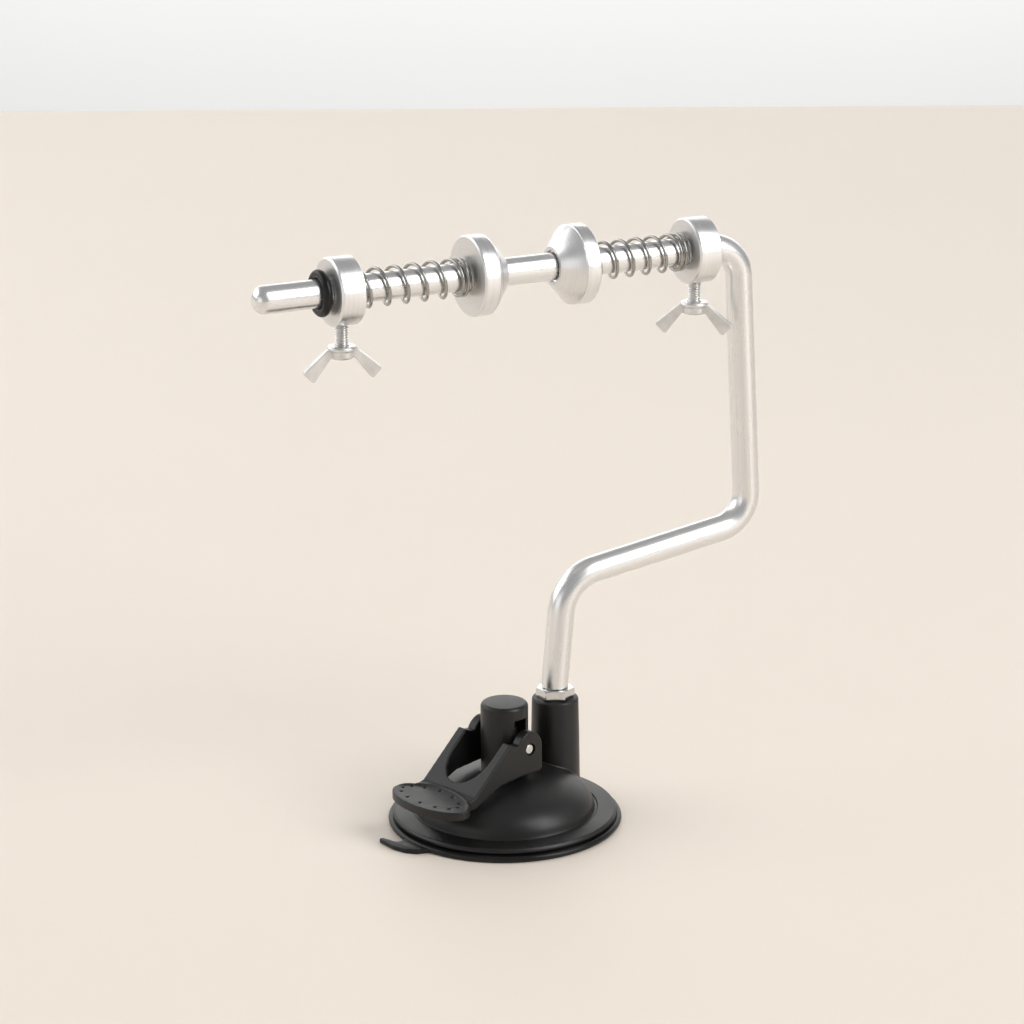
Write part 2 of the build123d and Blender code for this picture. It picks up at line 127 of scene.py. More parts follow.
class WinderStudio(bpy.types.PropertyGroup):
    floor: colour("Table", "Pale table top", (0.865, 0.776, 0.68))
    wall: colour("Wall", "White wall behind the table", (0.92, 0.92, 0.915))
    key: amount("Key lamp", "Power of the tall lamp on the right", 32.0, "POWER")
    fill: amount("Fill lamp", "Power of the wide lamp behind on the left", 10.5, "POWER")
    back: amount("Wall lamp", "Power of the lamp on the wall", 34.0, "POWER")
    room: amount("Room", "Strength of the light of the room", 0.385)


def size(key):
    """One of the sizes in millimetres, free of the error of its single precision."""
    return round(getattr(bpy.context.scene.winder_sizes, key) / MM, 5)


# ---------------------------------------------------------------- shapes
def rounded(corners, steps=6, closed=True):
    """Outline through corners given as (x, y, radius).

    Each corner's two runs are cut back by radius / tan(half the corner's angle), and an arc about
    the point radius / sin(half angle) along the bisector joins them.
    """
    tiny, same_place = 1e-9, 1e-6
    table = np.asarray(corners, float)
    point, radius = table[:, :2], table[:, 2]
    back = np.roll(point, 1, axis=0) - point
    on = np.roll(point, -1, axis=0) - point
    if not closed:
        back[0], on[-1] = -on[0], -back[-1]
    back /= np.linalg.norm(back, axis=1)[:, None]
    on /= np.linalg.norm(on, axis=1)[:, None]
    half = np.arccos(np.clip((back * on).sum(axis=1), -1, 1)) / 2
    middle = back + on
    middle /= np.maximum(np.linalg.norm(middle, axis=1), tiny)[:, None]
    centre = point + middle * (radius / np.sin(half))[:, None]
    cut_back = (radius / np.tan(half))[:, None]
    start = point + back * cut_back - centre
    end = point + on * cut_back - centre
    sweep = np.maximum(pi - 2 * half, tiny)[:, None, None]
    share = np.linspace(0, 1, steps + 1)[None, :, None]
    arc = np.sin((1 - share) * sweep) * start[:, None] + np.sin(share * sweep) * end[:, None]
    line = (centre[:, None] + arc / np.sin(sweep)).reshape(-1, 2)
    keep = np.linalg.norm(line - np.roll(line, 1, axis=0), axis=1) > same_place
    keep[0] = keep[0] or not closed
    return line[keep]


def round_the_turn(steps):
    """Even angles round a full turn."""
    return np.linspace(0, 2 * pi, steps, endpoint=False)


def add_object(name, mesh):
    obj = bpy.data.objects.new(name, mesh)
    bpy.context.scene.collection.objects.link(obj)
    return obj


def shade(mesh, angle=SHARP):
    """Smooth faces, with a sharp line where two faces meet at more than the angle."""
    mesh.shade_smooth()
    mesh.set_sharp_from_angle(angle=radians(angle))


def skin(name, grid, rows_meet=False):
    """Mesh over a grid of points, one four-sided face between two rows and two columns.

    The columns meet at the seam. The UV map holds the share of the way along a row, and the
    distance in metres down the rows.
    """
    rows, columns = grid.shape[:2]
    last = rows if rows_meet else rows - 1
    row, column = np.meshgrid(np.arange(last), np.arange(columns), indexing="ij")
    row, column = row.ravel(), column.ravel()
    row_corner = np.stack([row, row, row + 1, row + 1], axis=1)
    column_corner = np.stack([column, column + 1, column + 1, column], axis=1)
    faces = (row_corner % rows) * columns + column_corner % columns
    mesh = bpy.data.meshes.new(name)
    mesh.from_pydata((grid.reshape(-1, 3) * MM).tolist(), [], faces.tolist())
    around = np.concatenate([grid, grid[:1]])
    down = np.linalg.norm(np.diff(around, axis=0), axis=2).mean(axis=1)
    down = np.concatenate([[0.0], np.cumsum(down)]) * MM
    uv = np.stack([column_corner / columns, down[row_corner]], axis=-1)
    mesh.uv_layers.new(name="surface").data.foreach_set("uv", uv.astype(np.float32).ravel())
    return close_up(mesh)


def close_up(mesh):
    """Merges the seams and poles, fills the ends, turns the faces outwards and shades the mesh."""
    shape = bmesh.new()
    shape.from_mesh(mesh)
    bmesh.ops.remove_doubles(shape, verts=shape.verts, dist=2e-7)
    open_edges = [edge for edge in shape.edges if edge.is_boundary]
    if open_edges:
        bmesh.ops.holes_fill(shape, edges=open_edges)
    bmesh.ops.recalc_face_normals(shape, faces=shape.faces)
    shape.to_mesh(mesh)
    shape.free()
    shade(mesh)
    return mesh


def spokes(axis, steps):
    """The axis as a unit vector, and unit vectors square to it at even angles."""
    axis = np.asarray(axis, float) / np.linalg.norm(axis)
    side = np.cross(axis, UP if abs(axis[2]) < 0.9 else EAST)
    side /= np.linalg.norm(side)
    angle = round_the_turn(steps)[:, None]
    return axis, np.cos(angle) * side + np.sin(angle) * np.cross(axis, side)


def turned(name, profile, origin, axis, steps=128, ring=False):
    """Profile of (along, radius) carried round an axis: origin + along * axis + radius * spoke."""
    profile = np.asarray(profile, float)
    axis, spoke = spokes(axis, steps)
    grid = np.asarray(origin) + profile[:, None, :1] * axis + profile[:, None, 1:] * spoke[None]
    return skin(name, grid, rows_meet=ring)


def drill(name, radius, low, high, origin, axis):
    """Round bar that a hole is cut with, from low to high along the axis."""
    profile = [(low, 0), (low, radius), (high, radius), (high, 0)]
    return turned(name, profile, origin, axis, 48)


def swept(name, path, side, radius, sides):
    """Round section carried along a path: point + radius * (cos a * side + sin a * over), where
    side and over are square to the path."""
    path = np.asarray(path, float)
    ahead = np.gradient(path, axis=0)
    ahead /= np.linalg.norm(ahead, axis=1)[:, None]
    side = np.broadcast_to(side, path.shape)
    side = side - (side * ahead).sum(axis=1)[:, None] * ahead
    side /= np.linalg.norm(side, axis=1)[:, None]
    over = np.cross(ahead, side)
    angle = round_the_turn(sides)[None, :, None]
    radius = np.broadcast_to(radius, len(path))[:, None, None]
    grid = path[:, None] + radius * (np.cos(angle) * side[:, None] + np.sin(angle) * over[:, None])
    return skin(name, grid)


def threaded(name, foot, length, major, pitch):
    """Upright screw thread: the radius falls by 0.55 pitch times a three-cornered wave of
    (height / pitch - angle / one turn), and both ends are cut back by a cone."""
    rows_a_turn, sides, flat = 12, 48, 0.1
    height = np.linspace(0, length, int(length / pitch * rows_a_turn) + 1)[:, None]
    angle = round_the_turn(sides)[None, :]
    wave = np.abs((height / pitch - angle / (2 * pi)) % 1 - 0.5) * 2
    groove = 0.55 * pitch * np.clip((wave - flat) / (1 - 2 * flat), 0, 1)
    from_end = np.minimum(height, length - height)
    radius = np.minimum(major / 2 - groove, major / 2 - 0.5 * pitch + from_end)
    spoke = np.stack([np.cos(angle), np.sin(angle), 0 * angle], axis=-1)
    grid = np.asarray(foot) + radius[..., None] * spoke + height[..., None] * UP
    caps = [np.broadcast_to(np.asarray(foot) + h * UP, grid[:1].shape) for h in (0, length)]
    return skin(name, np.concatenate([caps[0], grid, caps[1]]))


def prism(name, outline, origin, across, up, ahead, depth):
    """Outline in the plane of across and up, carried from -depth / 2 to depth / 2 along ahead."""
    outline = np.asarray(outline, float)
    flat = np.asarray(origin) + outline[:, :1] * across + outline[:, 1:] * up
    ends = np.array([-depth / 2, depth / 2])[:, None, None] * ahead
    return skin(name, flat[None] + ends)


def applied(obj, angle=SHARP):
    """Turns the object's modifiers into its mesh."""
    graph = bpy.context.evaluated_depsgraph_get()
    mesh = bpy.data.meshes.new_from_object(obj.evaluated_get(graph))
    obj.modifiers.clear()
    obj.data = mesh
    shade(mesh, angle)
    return obj


def cut(obj, *cutters):
    """Takes each cutter's volume out of the object."""
    tools = [add_object("cutter", cutter) for cutter in cutters]
    for tool in tools:
        bite = obj.modifiers.new("bite", "BOOLEAN")
        bite.operation, bite.solver, bite.object = "DIFFERENCE", "EXACT", tool
    applied(obj)
    for tool in tools:
        bpy.data.objects.remove(tool)


def eased(obj, width, segments=2, angle=SHARP):
    """Rounds every edge that is sharper than the angle."""
    bevel = obj.modifiers.new("eased edges", "BEVEL")
    bevel.width, bevel.segments = width * MM, segments
    bevel.limit_method, bevel.angle_limit = "ANGLE", radians(angle)
    return applied(obj, 40)


def softened(name, node, voxel, passes, turn=0.0, reshape=None):
    """A copy of a CAD node whose edges are made soft.

    It is covered with small even squares, and each corner is drawn halfway to the middle of its
    neighbours in each pass. With its length laid along x, reshape may then move its points.
    """
    shape = bmesh.new()
    shape.from_mesh(frame["nodes"][node].data)
    bmesh.ops.remove_doubles(shape, verts=shape.verts, dist=1e-6)
    mesh = bpy.data.meshes.new(name)
    shape.to_mesh(mesh)
    shape.free()
    mesh.transform(Matrix.Rotation(-turn, 4, "Z"))
    obj = add_object(name, mesh)
    squares = obj.modifiers.new("even squares", "REMESH")
    squares.mode, squares.voxel_size = "VOXEL", voxel * MM
    relax = obj.modifiers.new("soft edges", "SMOOTH")
    relax.factor, relax.iterations = 0.5, passes
    applied(obj, 180)
    if reshape:
        place = np.zeros(len(obj.data.vertices) * 3, np.float32)
        obj.data.vertices.foreach_get("co", place)
        place = reshape(place.reshape(-1, 3).astype(float) / MM) * MM
        obj.data.vertices.foreach_set("co", place.astype(np.float32).ravel())
    obj.data.transform(Matrix.Rotation(turn, 4, "Z"))
    shade(obj.data, 180)
    return obj


def settle(piece, body, slot, finish, *nodes):
    """Gives a piece its finish and its body, and hides the CAD nodes that it stands for. The slot
    is not used.
    """
    piece.data.materials.clear()
    piece.data.materials.append(finish)
    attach(piece, body)
    if nodes:
        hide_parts(*nodes)


def faced(piece, finish):
    """Gives the flat ends that lie square to the axle a finish of their own."""
    normal = np.zeros(len(piece.data.polygons) * 3, np.float32)
    piece.data.polygons.foreach_get("normal", normal)
    square = np.abs(normal[::3]) > 0.99
    piece.data.materials.append(finish)
    piece.data.polygons.foreach_set("material_index", square.astype(np.int32))


# ---------------------------------------------------------------- parts of a finish
VALUE, VECTOR = "NodeSocketFloat", "NodeSocketVector"


def put(tree, kind, inputs=None, **settings):
    """A shader node with its settings, whose inputs are numbers or other nodes' sockets."""
    made = tree.nodes.new(kind)
    for key, value in settings.items():
        setattr(made, key, value)
    for key, value in (inputs or {}).items():
        if isinstance(value, bpy.types.NodeSocket):
            tree.links.new(value, made.inputs[key])
        else:
            made.inputs[key].default_value = value
    return made


def sums(tree, operation, *values):
    """A sum or another piece of arithmetic."""
    return put(tree, "ShaderNodeMath", dict(enumerate(values)), operation=operation).outputs[0]


def blend(tree, first, share, second):
    """share * first + (1 - share) * second."""
    much, little = sums(tree, "MULTIPLY", first, share), sums(tree, "MULTIPLY", second, 1 - share)
    return sums(tree, "ADD", much, little)


def spread(tree, value, low, high, to_low=0.0, to_high=1.0):
    """A value from low to high moved to the range from to_low to to_high."""
    names = ("Value", "From Min", "From Max", "To Min", "To Max")
    inputs = dict(zip(names, (value, low, high, to_low, to_high)))
    return put(tree, "ShaderNodeMapRange", inputs).outputs[0]


def cloud(tree, place, scale, detail, key="Vector", **settings):
    """Noise from 0 to 1 of a place, or of one number."""
    inputs = {key: place, "Scale": scale, "Detail": detail}
    return put(tree, "ShaderNodeTexNoise", inputs, **settings).outputs[0]


def effect(name, inputs, outputs, build):
    """A node group with named sockets, built once."""
    if name in bpy.data.node_groups:
        return bpy.data.node_groups[name]
    group = bpy.data.node_groups.new(name, "ShaderNodeTree")
    for label, kind, value in inputs:
        socket = group.interface.new_socket(label, in_out="INPUT", socket_type=kind)
        if value is not None:
            socket.default_value = value
    for label in outputs:
        group.interface.new_socket(label, in_out="OUTPUT", socket_type=VALUE)
    start, end = group.nodes.new("NodeGroupInput"), group.nodes.new("NodeGroupOutput")
    for label, socket in build(group, start.outputs).items():
        group.links.new(socket, end.inputs[label])
    return group


def lathe_marks():
    """Rings round the axle: noise of (radius + slant * place along the axle) / spacing, whose
    fine lines lie over wide ones."""

    def build(tree, given):
        x, y, z = put(tree, "ShaderNodeSeparateXYZ", {0: given["Place"]}).outputs
        flat = put(tree, "ShaderNodeCombineXYZ", {1: y, 2: z}).outputs[0]
        radius = put(tree, "ShaderNodeVectorMath", {0: flat}, operation="LENGTH").outputs["Value"]
        slanted = sums(tree, "ADD", radius, sums(tree, "MULTIPLY", x, given["Slant"]))
        line = sums(tree, "DIVIDE", slanted, given["Spacing"])
        fine = cloud(tree, line, 1.0, 2.0, "W", noise_dimensions="1D")
        wide = cloud(tree, line, 0.13, 1.0, "W", noise_dimensions="1D")
        return {"Rings": spread(tree, blend(tree, fine, 0.6, wide), 0.3, 0.7)}

    inputs = [("Place", VECTOR, None), ("Spacing", VALUE, 0.0002), ("Slant", VALUE, 0.37)]
    return effect("lathe marks", inputs, ["Rings"], build)


def drawn_streaks():
    """Streaks along a drawn rod or wire: noise that changes quickly round it and slowly along it.

    The share round the rod is laid on a circle, so that the streaks meet at the seam.
    """

    def build(tree, given):
        around, down, _ = put(tree, "ShaderNodeSeparateXYZ", {0: given["Surface"]}).outputs
        turn = sums(tree, "MULTIPLY", around, 2 * pi)
        ring = {
            0: sums(tree, "MULTIPLY", sums(tree, "COSINE", turn), given["Count"]),
            1: sums(tree, "MULTIPLY", sums(tree, "SINE", turn), given["Count"]),
            2: sums(tree, "MULTIPLY", down, given["Along"]),
        }
        place = put(tree, "ShaderNodeCombineXYZ", ring).outputs[0]
        inputs = {"Vector": place, "Scale": 1.0, "Detail": 3.0, "Roughness": 0.6}
        noise = put(tree, "ShaderNodeTexNoise", inputs).outputs[0]
        return {"Streaks": spread(tree, noise, 0.32, 0.68)}

    inputs = [("Surface", VECTOR, None), ("Count", VALUE, 6.0), ("Along", VALUE, 30.0)]
    return effect("drawn streaks", inputs, ["Streaks"], build)


def handling():
    """Large soft patches where hands have dulled or wiped the surface, and fine specks of dust."""

    def build(tree, given):
        patches = spread(tree, cloud(tree, given["Place"], given["Patches"], 3.0), 0.35, 0.65)
        specks = spread(tree, cloud(tree, given["Place"], given["Specks"], 2.0), 0.58, 0.72)
        return {"Patches": patches, "Specks": specks}

    inputs = [("Place", VECTOR, None), ("Patches", VALUE, 90.0), ("Specks", VALUE, 3500.0)]
    return effect("handling", inputs, ["Patches", "Specks"], build)


def moulded_grain():
    """Height of the fine spark-etched grain that a mould leaves, over a wider one."""

    def build(tree, given):
        fine = cloud(tree, given["Place"], given["Scale"], 2.0)
        wide = cloud(tree, given["Place"], 260.0, 1.0)
        return {"Height": blend(tree, fine, 0.7, wide)}

    inputs = [("Place", VECTOR, None), ("Scale", VALUE, 2600.0)]
    return effect("moulded grain", inputs, ["Height"], build)


class Finish:
    """A material with its surface shader and the two coordinate systems that patterns read."""

    def __init__(self, name, roughness, metallic, base, **sockets):
        self.material = bpy.data.materials.new(name)
        self.material.use_nodes = True
        self.material.diffuse_color = (*base, 1)
        self.tree = self.material.node_tree
        self.shader = self.tree.nodes["Principled BSDF"]
        self.set("Base Color", (*base, 1))
        self.set("Roughness", roughness)
        self.set("Metallic", metallic)
        for key, value in sockets.items():
            self.set(key.replace("_", " "), value)
        at = self.tree.nodes.new("ShaderNodeTexCoord")
        self.place, self.surface = at.outputs["Object"], at.outputs["UV"]

    def set(self, socket, value):
        """Puts a number or a colour on the shader's own socket, or links a node's socket to it."""
        if isinstance(value, bpy.types.NodeSocket):
            self.tree.links.new(value, self.shader.inputs[socket])
        else:
            self.shader.inputs[socket].default_value = value

    def effect(self, group, **inputs):
        return put(self.tree, "ShaderNodeGroup", inputs, node_tree=group).outputs

    def rings(self, spacing, slant):
        """Lathe marks about the axle."""
        shift = {"Vector": self.place, "Location": tuple(-AXLE * MM)}
        centred = put(self.tree, "ShaderNodeMapping", shift).outputs[0]
        return self.effect(lathe_marks(), Place=centred, Spacing=spacing, Slant=slant)["Rings"]

    def streaks(self, count, along):
        marks = self.effect(drawn_streaks(), Surface=self.surface, Count=count, Along=along)
        return marks["Streaks"]

    def hands(self, patches, specks):
        """Masks of the handled patches and of the dust."""
        marks = self.effect(handling(), Place=self.place, Patches=patches, Specks=specks)
        return marks["Patches"], marks["Specks"]

    def grain(self, scale):
        return self.effect(moulded_grain(), Place=self.place, Scale=scale)["Height"]

    def ranged(self, share, low, high):
        """A share of 0 to 1 moved to the range from low to high."""
        return spread(self.tree, share, 0, 1, low, high)

    def plus(self, first, second):
        return sums(self.tree, "ADD", first, second)

    def tint(self, share, dark, bright):
        """Base colour from dark to bright by the share."""
        ends = {0: share, 6: (*dark, 1), 7: (*bright, 1)}
        mix = put(self.tree, "ShaderNodeMix", ends, data_type="RGBA")
        self.set("Base Color", mix.outputs[2])

    def bump(self, height, depth, strength=1.0):
        """Relief of the given depth in millimetres."""
        inputs = {"Height": height, "Distance": depth * MM, "Strength": strength}
        self.set("Normal", put(self.tree, "ShaderNodeBump", inputs).outputs[0])


def base_colour(key):
    """One of the colours that the user may change."""
    return tuple(getattr(bpy.context.scene.winder_finish, key))


def scaled(base, factor):
    return tuple(min(1.0, part * factor) for part in base)


def once(name, build):
    """The material of that name, built the first time that it is asked for."""
    return bpy.data.materials.get(name) or build(name).material


# ---------------------------------------------------------------- finishes
def bright_rod():
    """Polished tube with faint streaks along it and a few dull patches."""

    def build(name):
        base = base_colour("aluminium")
        made = Finish(name, 0.24, 1.0, base)
        streaks = made.streaks(count=7.0, along=26.0)
        patches, _ = made.hands(patches=70.0, specks=2600.0)
        made.tint(streaks, scaled(base, 0.95), scaled(base, 1.02))
        rough = made.plus(made.ranged(streaks, 0.24, 0.28), made.ranged(patches, 0.0, 0.05))
        made.set("Roughness", rough)
        made.bump(streaks, 0.001)
        return made

    return once("bright rod", build)


def turned_metal(side, rough=0.25, depth=0.0015, painted_shade_factor=1.0):
    """Turned aluminium: fine rings by the lathe, a faint speckle and duller patches."""

    def build(name):
        # Below 1 this factor darkens the aluminium as painted shade; the flat ends of the collars
        # and cones use it.
        base = scaled(base_colour("aluminium"), painted_shade_factor)
        made = Finish(name, rough, 1.0, base)
        rings = made.rings(size("tool_marks") * MM, -0.37 if side == "left" else 0.37)
        patches, specks = made.hands(patches=120.0, specks=4200.0)
        dust = sums(made.tree, "MULTIPLY", specks, 0.5)
        clean = spread(made.tree, sums(made.tree, "SUBTRACT", rings, dust), -0.5, 1)
        made.tint(clean, scaled(base, 0.88), scaled(base, 1.03))
        dull = made.plus(made.ranged(rings, rough, rough + 0.07), made.ranged(patches, 0.0, 0.05))
        made.set("Roughness", dull)
        made.bump(made.plus(rings, dust), depth)
        return made

    return once(f"turned metal {side} {rough}", build)


def turned_face(side):
    """The flat ends of a collar or a cone, which the lathe left rougher, and whose colour is
    darkened to 0.93 as painted shade.
    """
    return turned_metal(side, rough=0.36, depth=0.008, painted_shade_factor=0.93)


def spring_steel():
    """Drawn wire with dark streaks along it."""

    def build(name):
        base = base_colour("wire")
        made = Finish(name, 0.22, 1.0, base)
        streaks = made.streaks(count=2.5, along=300.0)
        made.tint(streaks, scaled(base, 0.78), scaled(base, 1.1))
        made.set("Roughness", made.ranged(streaks, 0.16, 0.3))
        made.bump(streaks, 0.004)
        return made

    return once("spring steel", build)


def plated_steel(name, rough, specks, depth):
    """Bright zinc plating: soft patches of shine over a fine pebbled ground."""

    def build(label):
        base = base_colour("steel")
        made = Finish(label, rough, 1.0, base)
        patches, _ = made.hands(patches=240.0, specks=specks)
        made.tint(patches, scaled(base, 0.86), scaled(base, 1.06))
        made.set("Roughness", made.ranged(patches, rough - 0.06, rough + 0.08))
        made.bump(made.grain(specks / 2), depth)
        return made

    return once(name, build)


def cut_thread():
    """Plated steel as the die leaves it."""
    return plated_steel("cut thread", rough=0.3, specks=3000.0, depth=0.006)


def black_plastic():
    """Satin black moulding: fine etched grain, greyer where it has been handled."""

    def build(name):
        base = base_colour("plastic")
        made = Finish(name, 0.4, 0.0, base, IOR=1.5, Specular_IOR_Level=0.4)
        patches, specks = made.hands(patches=85.0, specks=2200.0)
        worn = blend(made.tree, patches, 0.6, specks)
        made.tint(worn, scaled(base, 0.8), scaled(base, 1.6))
        made.set("Roughness", made.ranged(patches, 0.36, 0.44))
        made.bump(made.grain(2400.0), 0.03, 0.6)
        return made

    return once("satin black plastic", build)


def black_rubber():
    """Smooth rubber with a slight bloom in patches."""

    def build(name):
        base = base_colour("rubber")
        made = Finish(name, 0.34, 0.0, base, IOR=1.52, Specular_IOR_Level=0.25)
        patches, _ = made.hands(patches=60.0, specks=1500.0)
        made.tint(patches, base, scaled(base, 1.9))
        made.set("Roughness", made.ranged(patches, 0.26, 0.42))
        made.bump(made.grain(900.0), 0.02, 0.5)
        return made

    return once("black rubber", build)


def turned_brass():
    """Brass with duller patches and fine specks."""

    def build(name):
        base = base_colour("brass")
        made = Finish(name, 0.3, 1.0, base)
        patches, specks = made.hands(patches=300.0, specks=3000.0)
        made.tint(patches, scaled(base, 0.8), scaled(base, 1.1))
        made.set("Roughness", made.ranged(patches, 0.25, 0.4))
        made.bump(specks, 0.01)
        return made

    return once("turned brass", build)


# ---------------------------------------------------------------- pieces
class MakeRod(bpy.types.Operator):
    """Bends the rod from the post to the free end of the axle and cuts the thread on its foot"""

    bl_idname = "winder.make_rod"
    bl_label = "Bent rod"

    def execute(self, context):
        low = BOX["bent_rod"][0]
        tip, round_end, chamfer = low[0], 3.4, 0.4
        foot = BOX["jam_nut"][1][2] + 0.05      # the full rod starts just above the nut
        reach, lean = 66.2, 4.9                 # from the post to the mast, and its lean back
        corners = [                             # along the axle, height, radius of the bend
            (POST[0], foot, 0),
            (POST[0], foot + 0.5, 0),
            (POST[0], foot + 2.2, 30.0),
            (POST[0] + 3.1, 68.8, 13.0),
            (POST[0] + reach, 77.7, 10.5),
            (POST[0] + reach - lean, AXLE_Z, 9.5),
            (tip + round_end, AXLE_Z, 0),
        ]
        line = rounded(corners, 20, closed=False)
        # The free end is round: round_end * (1 - sin) from the tip, round_end * (1 - cos) thinner.
        dome = np.linspace(0, pi / 2, 12)[1:]
        ahead = tip + round_end * (1 - np.sin(dome))
        nose = np.stack([ahead, np.full(len(dome), AXLE_Z)], axis=1)
        start = line[0] + [[0, -SKIN], [0, 0], [0, chamfer]]
        path = np.concatenate([start, line[1:], nose, [[tip - SKIN, AXLE_Z]]])
        radius = np.full(len(path), ROD)
        radius[:2] = 0.0, ROD - chamfer
        radius[-len(dome) - 1 : -1] = ROD - round_end * (1 - np.cos(dome))
        radius[-1] = 0.0
        points = np.stack([path[:, 0], np.full(len(path), AXLE_Y), path[:, 1]], axis=1)
        rod = add_object("rod", swept("rod", points, (0, 1, 0), radius, 96))
        settle(rod, "rod", "bent_rod", bright_rod(), "bent_rod")
        at = (POST[0], POST[1], low[2])
        thread = threaded("rod_thread", at, foot - low[2], major=6.0, pitch=1.0)
        settle(add_object("rod_thread", thread), "rod", "bent_rod", cut_thread())
        return {"FINISHED"}


class MakeNut(bpy.types.Operator):
    """Cuts the jam nut: a hexagon whose corners are taken off by a cone above and below"""

    bl_idname = "winder.make_nut"
    bl_label = "Jam nut"

    def execute(self, context):
        foot, top = BOX["jam_nut"][0][2], BOX["jam_nut"][1][2]
        flats, bore, mouth, turn = 5.0, 3.03, 0.3, radians(-28.0)
        out, up = 0.8, 0.45                     # the cone's cut at a corner
        # A side lies flats / cos(angle from its middle) from the axis, and the cone takes off
        # up / out times what stands past the corner less out.
        angle = round_the_turn(144)
        side = flats / np.cos((angle % (pi / 3)) - pi / 6)
        corner = flats / cos(pi / 6)
        lost = np.maximum(side - (corner - out), 0) * up / out
        face = np.minimum(side, corner - out)
        rows = [
            (bore, foot + mouth),
            (bore + mouth, foot),
            (face, foot),
            (side, foot + lost),
            (side, top - lost),
            (face, top),
            (bore + mouth, top),
            (bore, top - mouth),
        ]
        radius, height = (np.stack([row[i] + 0 * angle for row in rows]) for i in (0, 1))
        spin = angle + turn
        plan = POST[0] + radius * np.cos(spin), POST[1] + radius * np.sin(spin)
        nut = skin("jam_nut_hex", np.stack([*plan, height], axis=-1), rows_meet=True)
        nut = eased(add_object("jam_nut_hex", nut), 0.07)
        finish = plated_steel("plated nut", rough=0.2, specks=2600.0, depth=0.005)
        settle(nut, "nut", "jam_nut", finish, "jam_nut")
        return {"FINISHED"}


class MakeCollars(bpy.types.Operator):
    """Turns the two collars, with chamfered rims and a hole for the wing screw"""

    bl_idname = "winder.make_collars"
    bl_label = "Collars"

    def execute(self, context):
        chamfer, mouth, screw_hole = 0.5, 0.25, 2.03
        for side in SIDES:
            node = f"{side}_collar"
            low, high = BOX[node]
            radius = (high[1] - low[1]) / 2
            shape = [
                (low[0], MOUTH, 0.08),
                (low[0], radius - chamfer, 0.12),
                (low[0] + chamfer, radius, 0.12),
                (high[0] - chamfer, radius, 0.12),
                (high[0], radius - chamfer, 0.12),
                (high[0], MOUTH, 0.08),
                (high[0] - mouth, BORE, 0),
                (low[0] + mouth, BORE, 0),
            ]
            body = turned(node, rounded(shape, 3), AXLE, EAST, 192, ring=True)
            collar = add_object(f"{side}_collar_turned", body)
            underside = (SCREW_X[side], AXLE_Y, AXLE_Z - radius)
            cut(collar, drill("hole", screw_hole, -6.0, 7.0, underside, UP))
            settle(collar, f"{side}_clamp", node, turned_metal(side), node)
            faced(collar, turned_face(side))
        return {"FINISHED"}


class MakeCones(bpy.types.Operator):
    """Turns the two cones that grip the spool, each with a grooved rim and a countersunk mouth"""

    bl_idname = "winder.make_cones"
    bl_label = "Cones"

    def execute(self, context):
        rim, nose, chamfer, groove = 5.0, 5.65, 0.45, 0.4
        sink, sink_depth = 4.62, 1.1
        for side, facing in (("left", 1), ("right", -1)):
            node = f"{side}_cone"
            low, high = BOX[node]
            radius, length = (high[1] - low[1]) / 2, high[0] - low[0]
            back = low[0] if facing > 0 else high[0]
            shape = [                           # from the back face over the rim to the nose
                (0.25, BORE, 0),
                (0, MOUTH, 0.08),
                (0, radius - chamfer, 0.12),
                (chamfer, radius, 0.12),
                (rim - chamfer, radius, 0.05),
                (rim - 0.25, radius - groove, 0.03),
                (rim - 0.02, radius - 0.02, 0.05),
                (length, nose, 0.14),
                (length, sink, 0.06),
                (length - sink_depth, sink - 0.07, 0),
                (length - sink_depth - 0.2, BORE, 0),
            ]
            profile = rounded(shape, 3) * [facing, 1] + [back, 0]
            body = turned(node, profile, AXLE, EAST, 192, ring=True)
            cone = add_object(f"{side}_cone_turned", body)
            settle(cone, node, node, turned_metal(side), node)
            faced(cone, turned_face(side))
        return {"FINISHED"}


class WindSprings(bpy.types.Operator):
    """Winds the two springs: open turns on the left that ease into nearly two closed ones"""

    bl_idname = "winder.wind_springs"
    bl_label = "Springs"

    def execute(self, context):
        wire, clear, gap = size("spring_wire"), 0.7, 0.3
        start, opened, ease, closed, close_pitch = 0.88, 5.25, 0.25, 1.9, 1.4
        tail, blunt = 0.03, 0.08                # the wire's ends run on a little and are eased
        coil = ROD + clear + wire / 2
        between = {
            "left": (BOX["left_collar"][1][0], BOX["left_cone"][0][0]),
            "right": (BOX["right_cone"][1][0], BOX["right_collar"][0][0]),
        }
        for side in SIDES:
            node = f"{side}_spring"
            low, high = between[side]
            length = high - low
            run = length - wire - 2 * gap - closed * close_pitch
            pitch = (run - ease * close_pitch / 2) / (opened + ease / 2)
            turns = np.linspace(-tail, opened + ease + closed + tail, 330)
            # The pitch falls evenly over the easing, so the way along it falls with its square.
            part = np.clip(turns - opened, 0, ease)
            easing = part * pitch - (pitch - close_pitch) * part**2 / (2 * ease)
            shut = np.maximum(turns - opened - ease, 0) * close_pitch
            along = np.minimum(turns, opened) * pitch + easing + shut + low + wire / 2 + gap
            angle = 2 * pi * (start + turns)
            out = np.stack([0 * angle, -np.sin(angle), np.cos(angle)], axis=1)
            path = AXLE + along[:, None] * EAST + coil * out
            radius = np.full(len(path), wire / 2)
            radius[[0, -1]] -= blunt
            spring = add_object(f"{side}_spring_wire", swept(node, path, out, radius, 20))
            settle(spring, f"{side}_push", node, spring_steel(), node)
            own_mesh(spring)
        return {"FINISHED"}


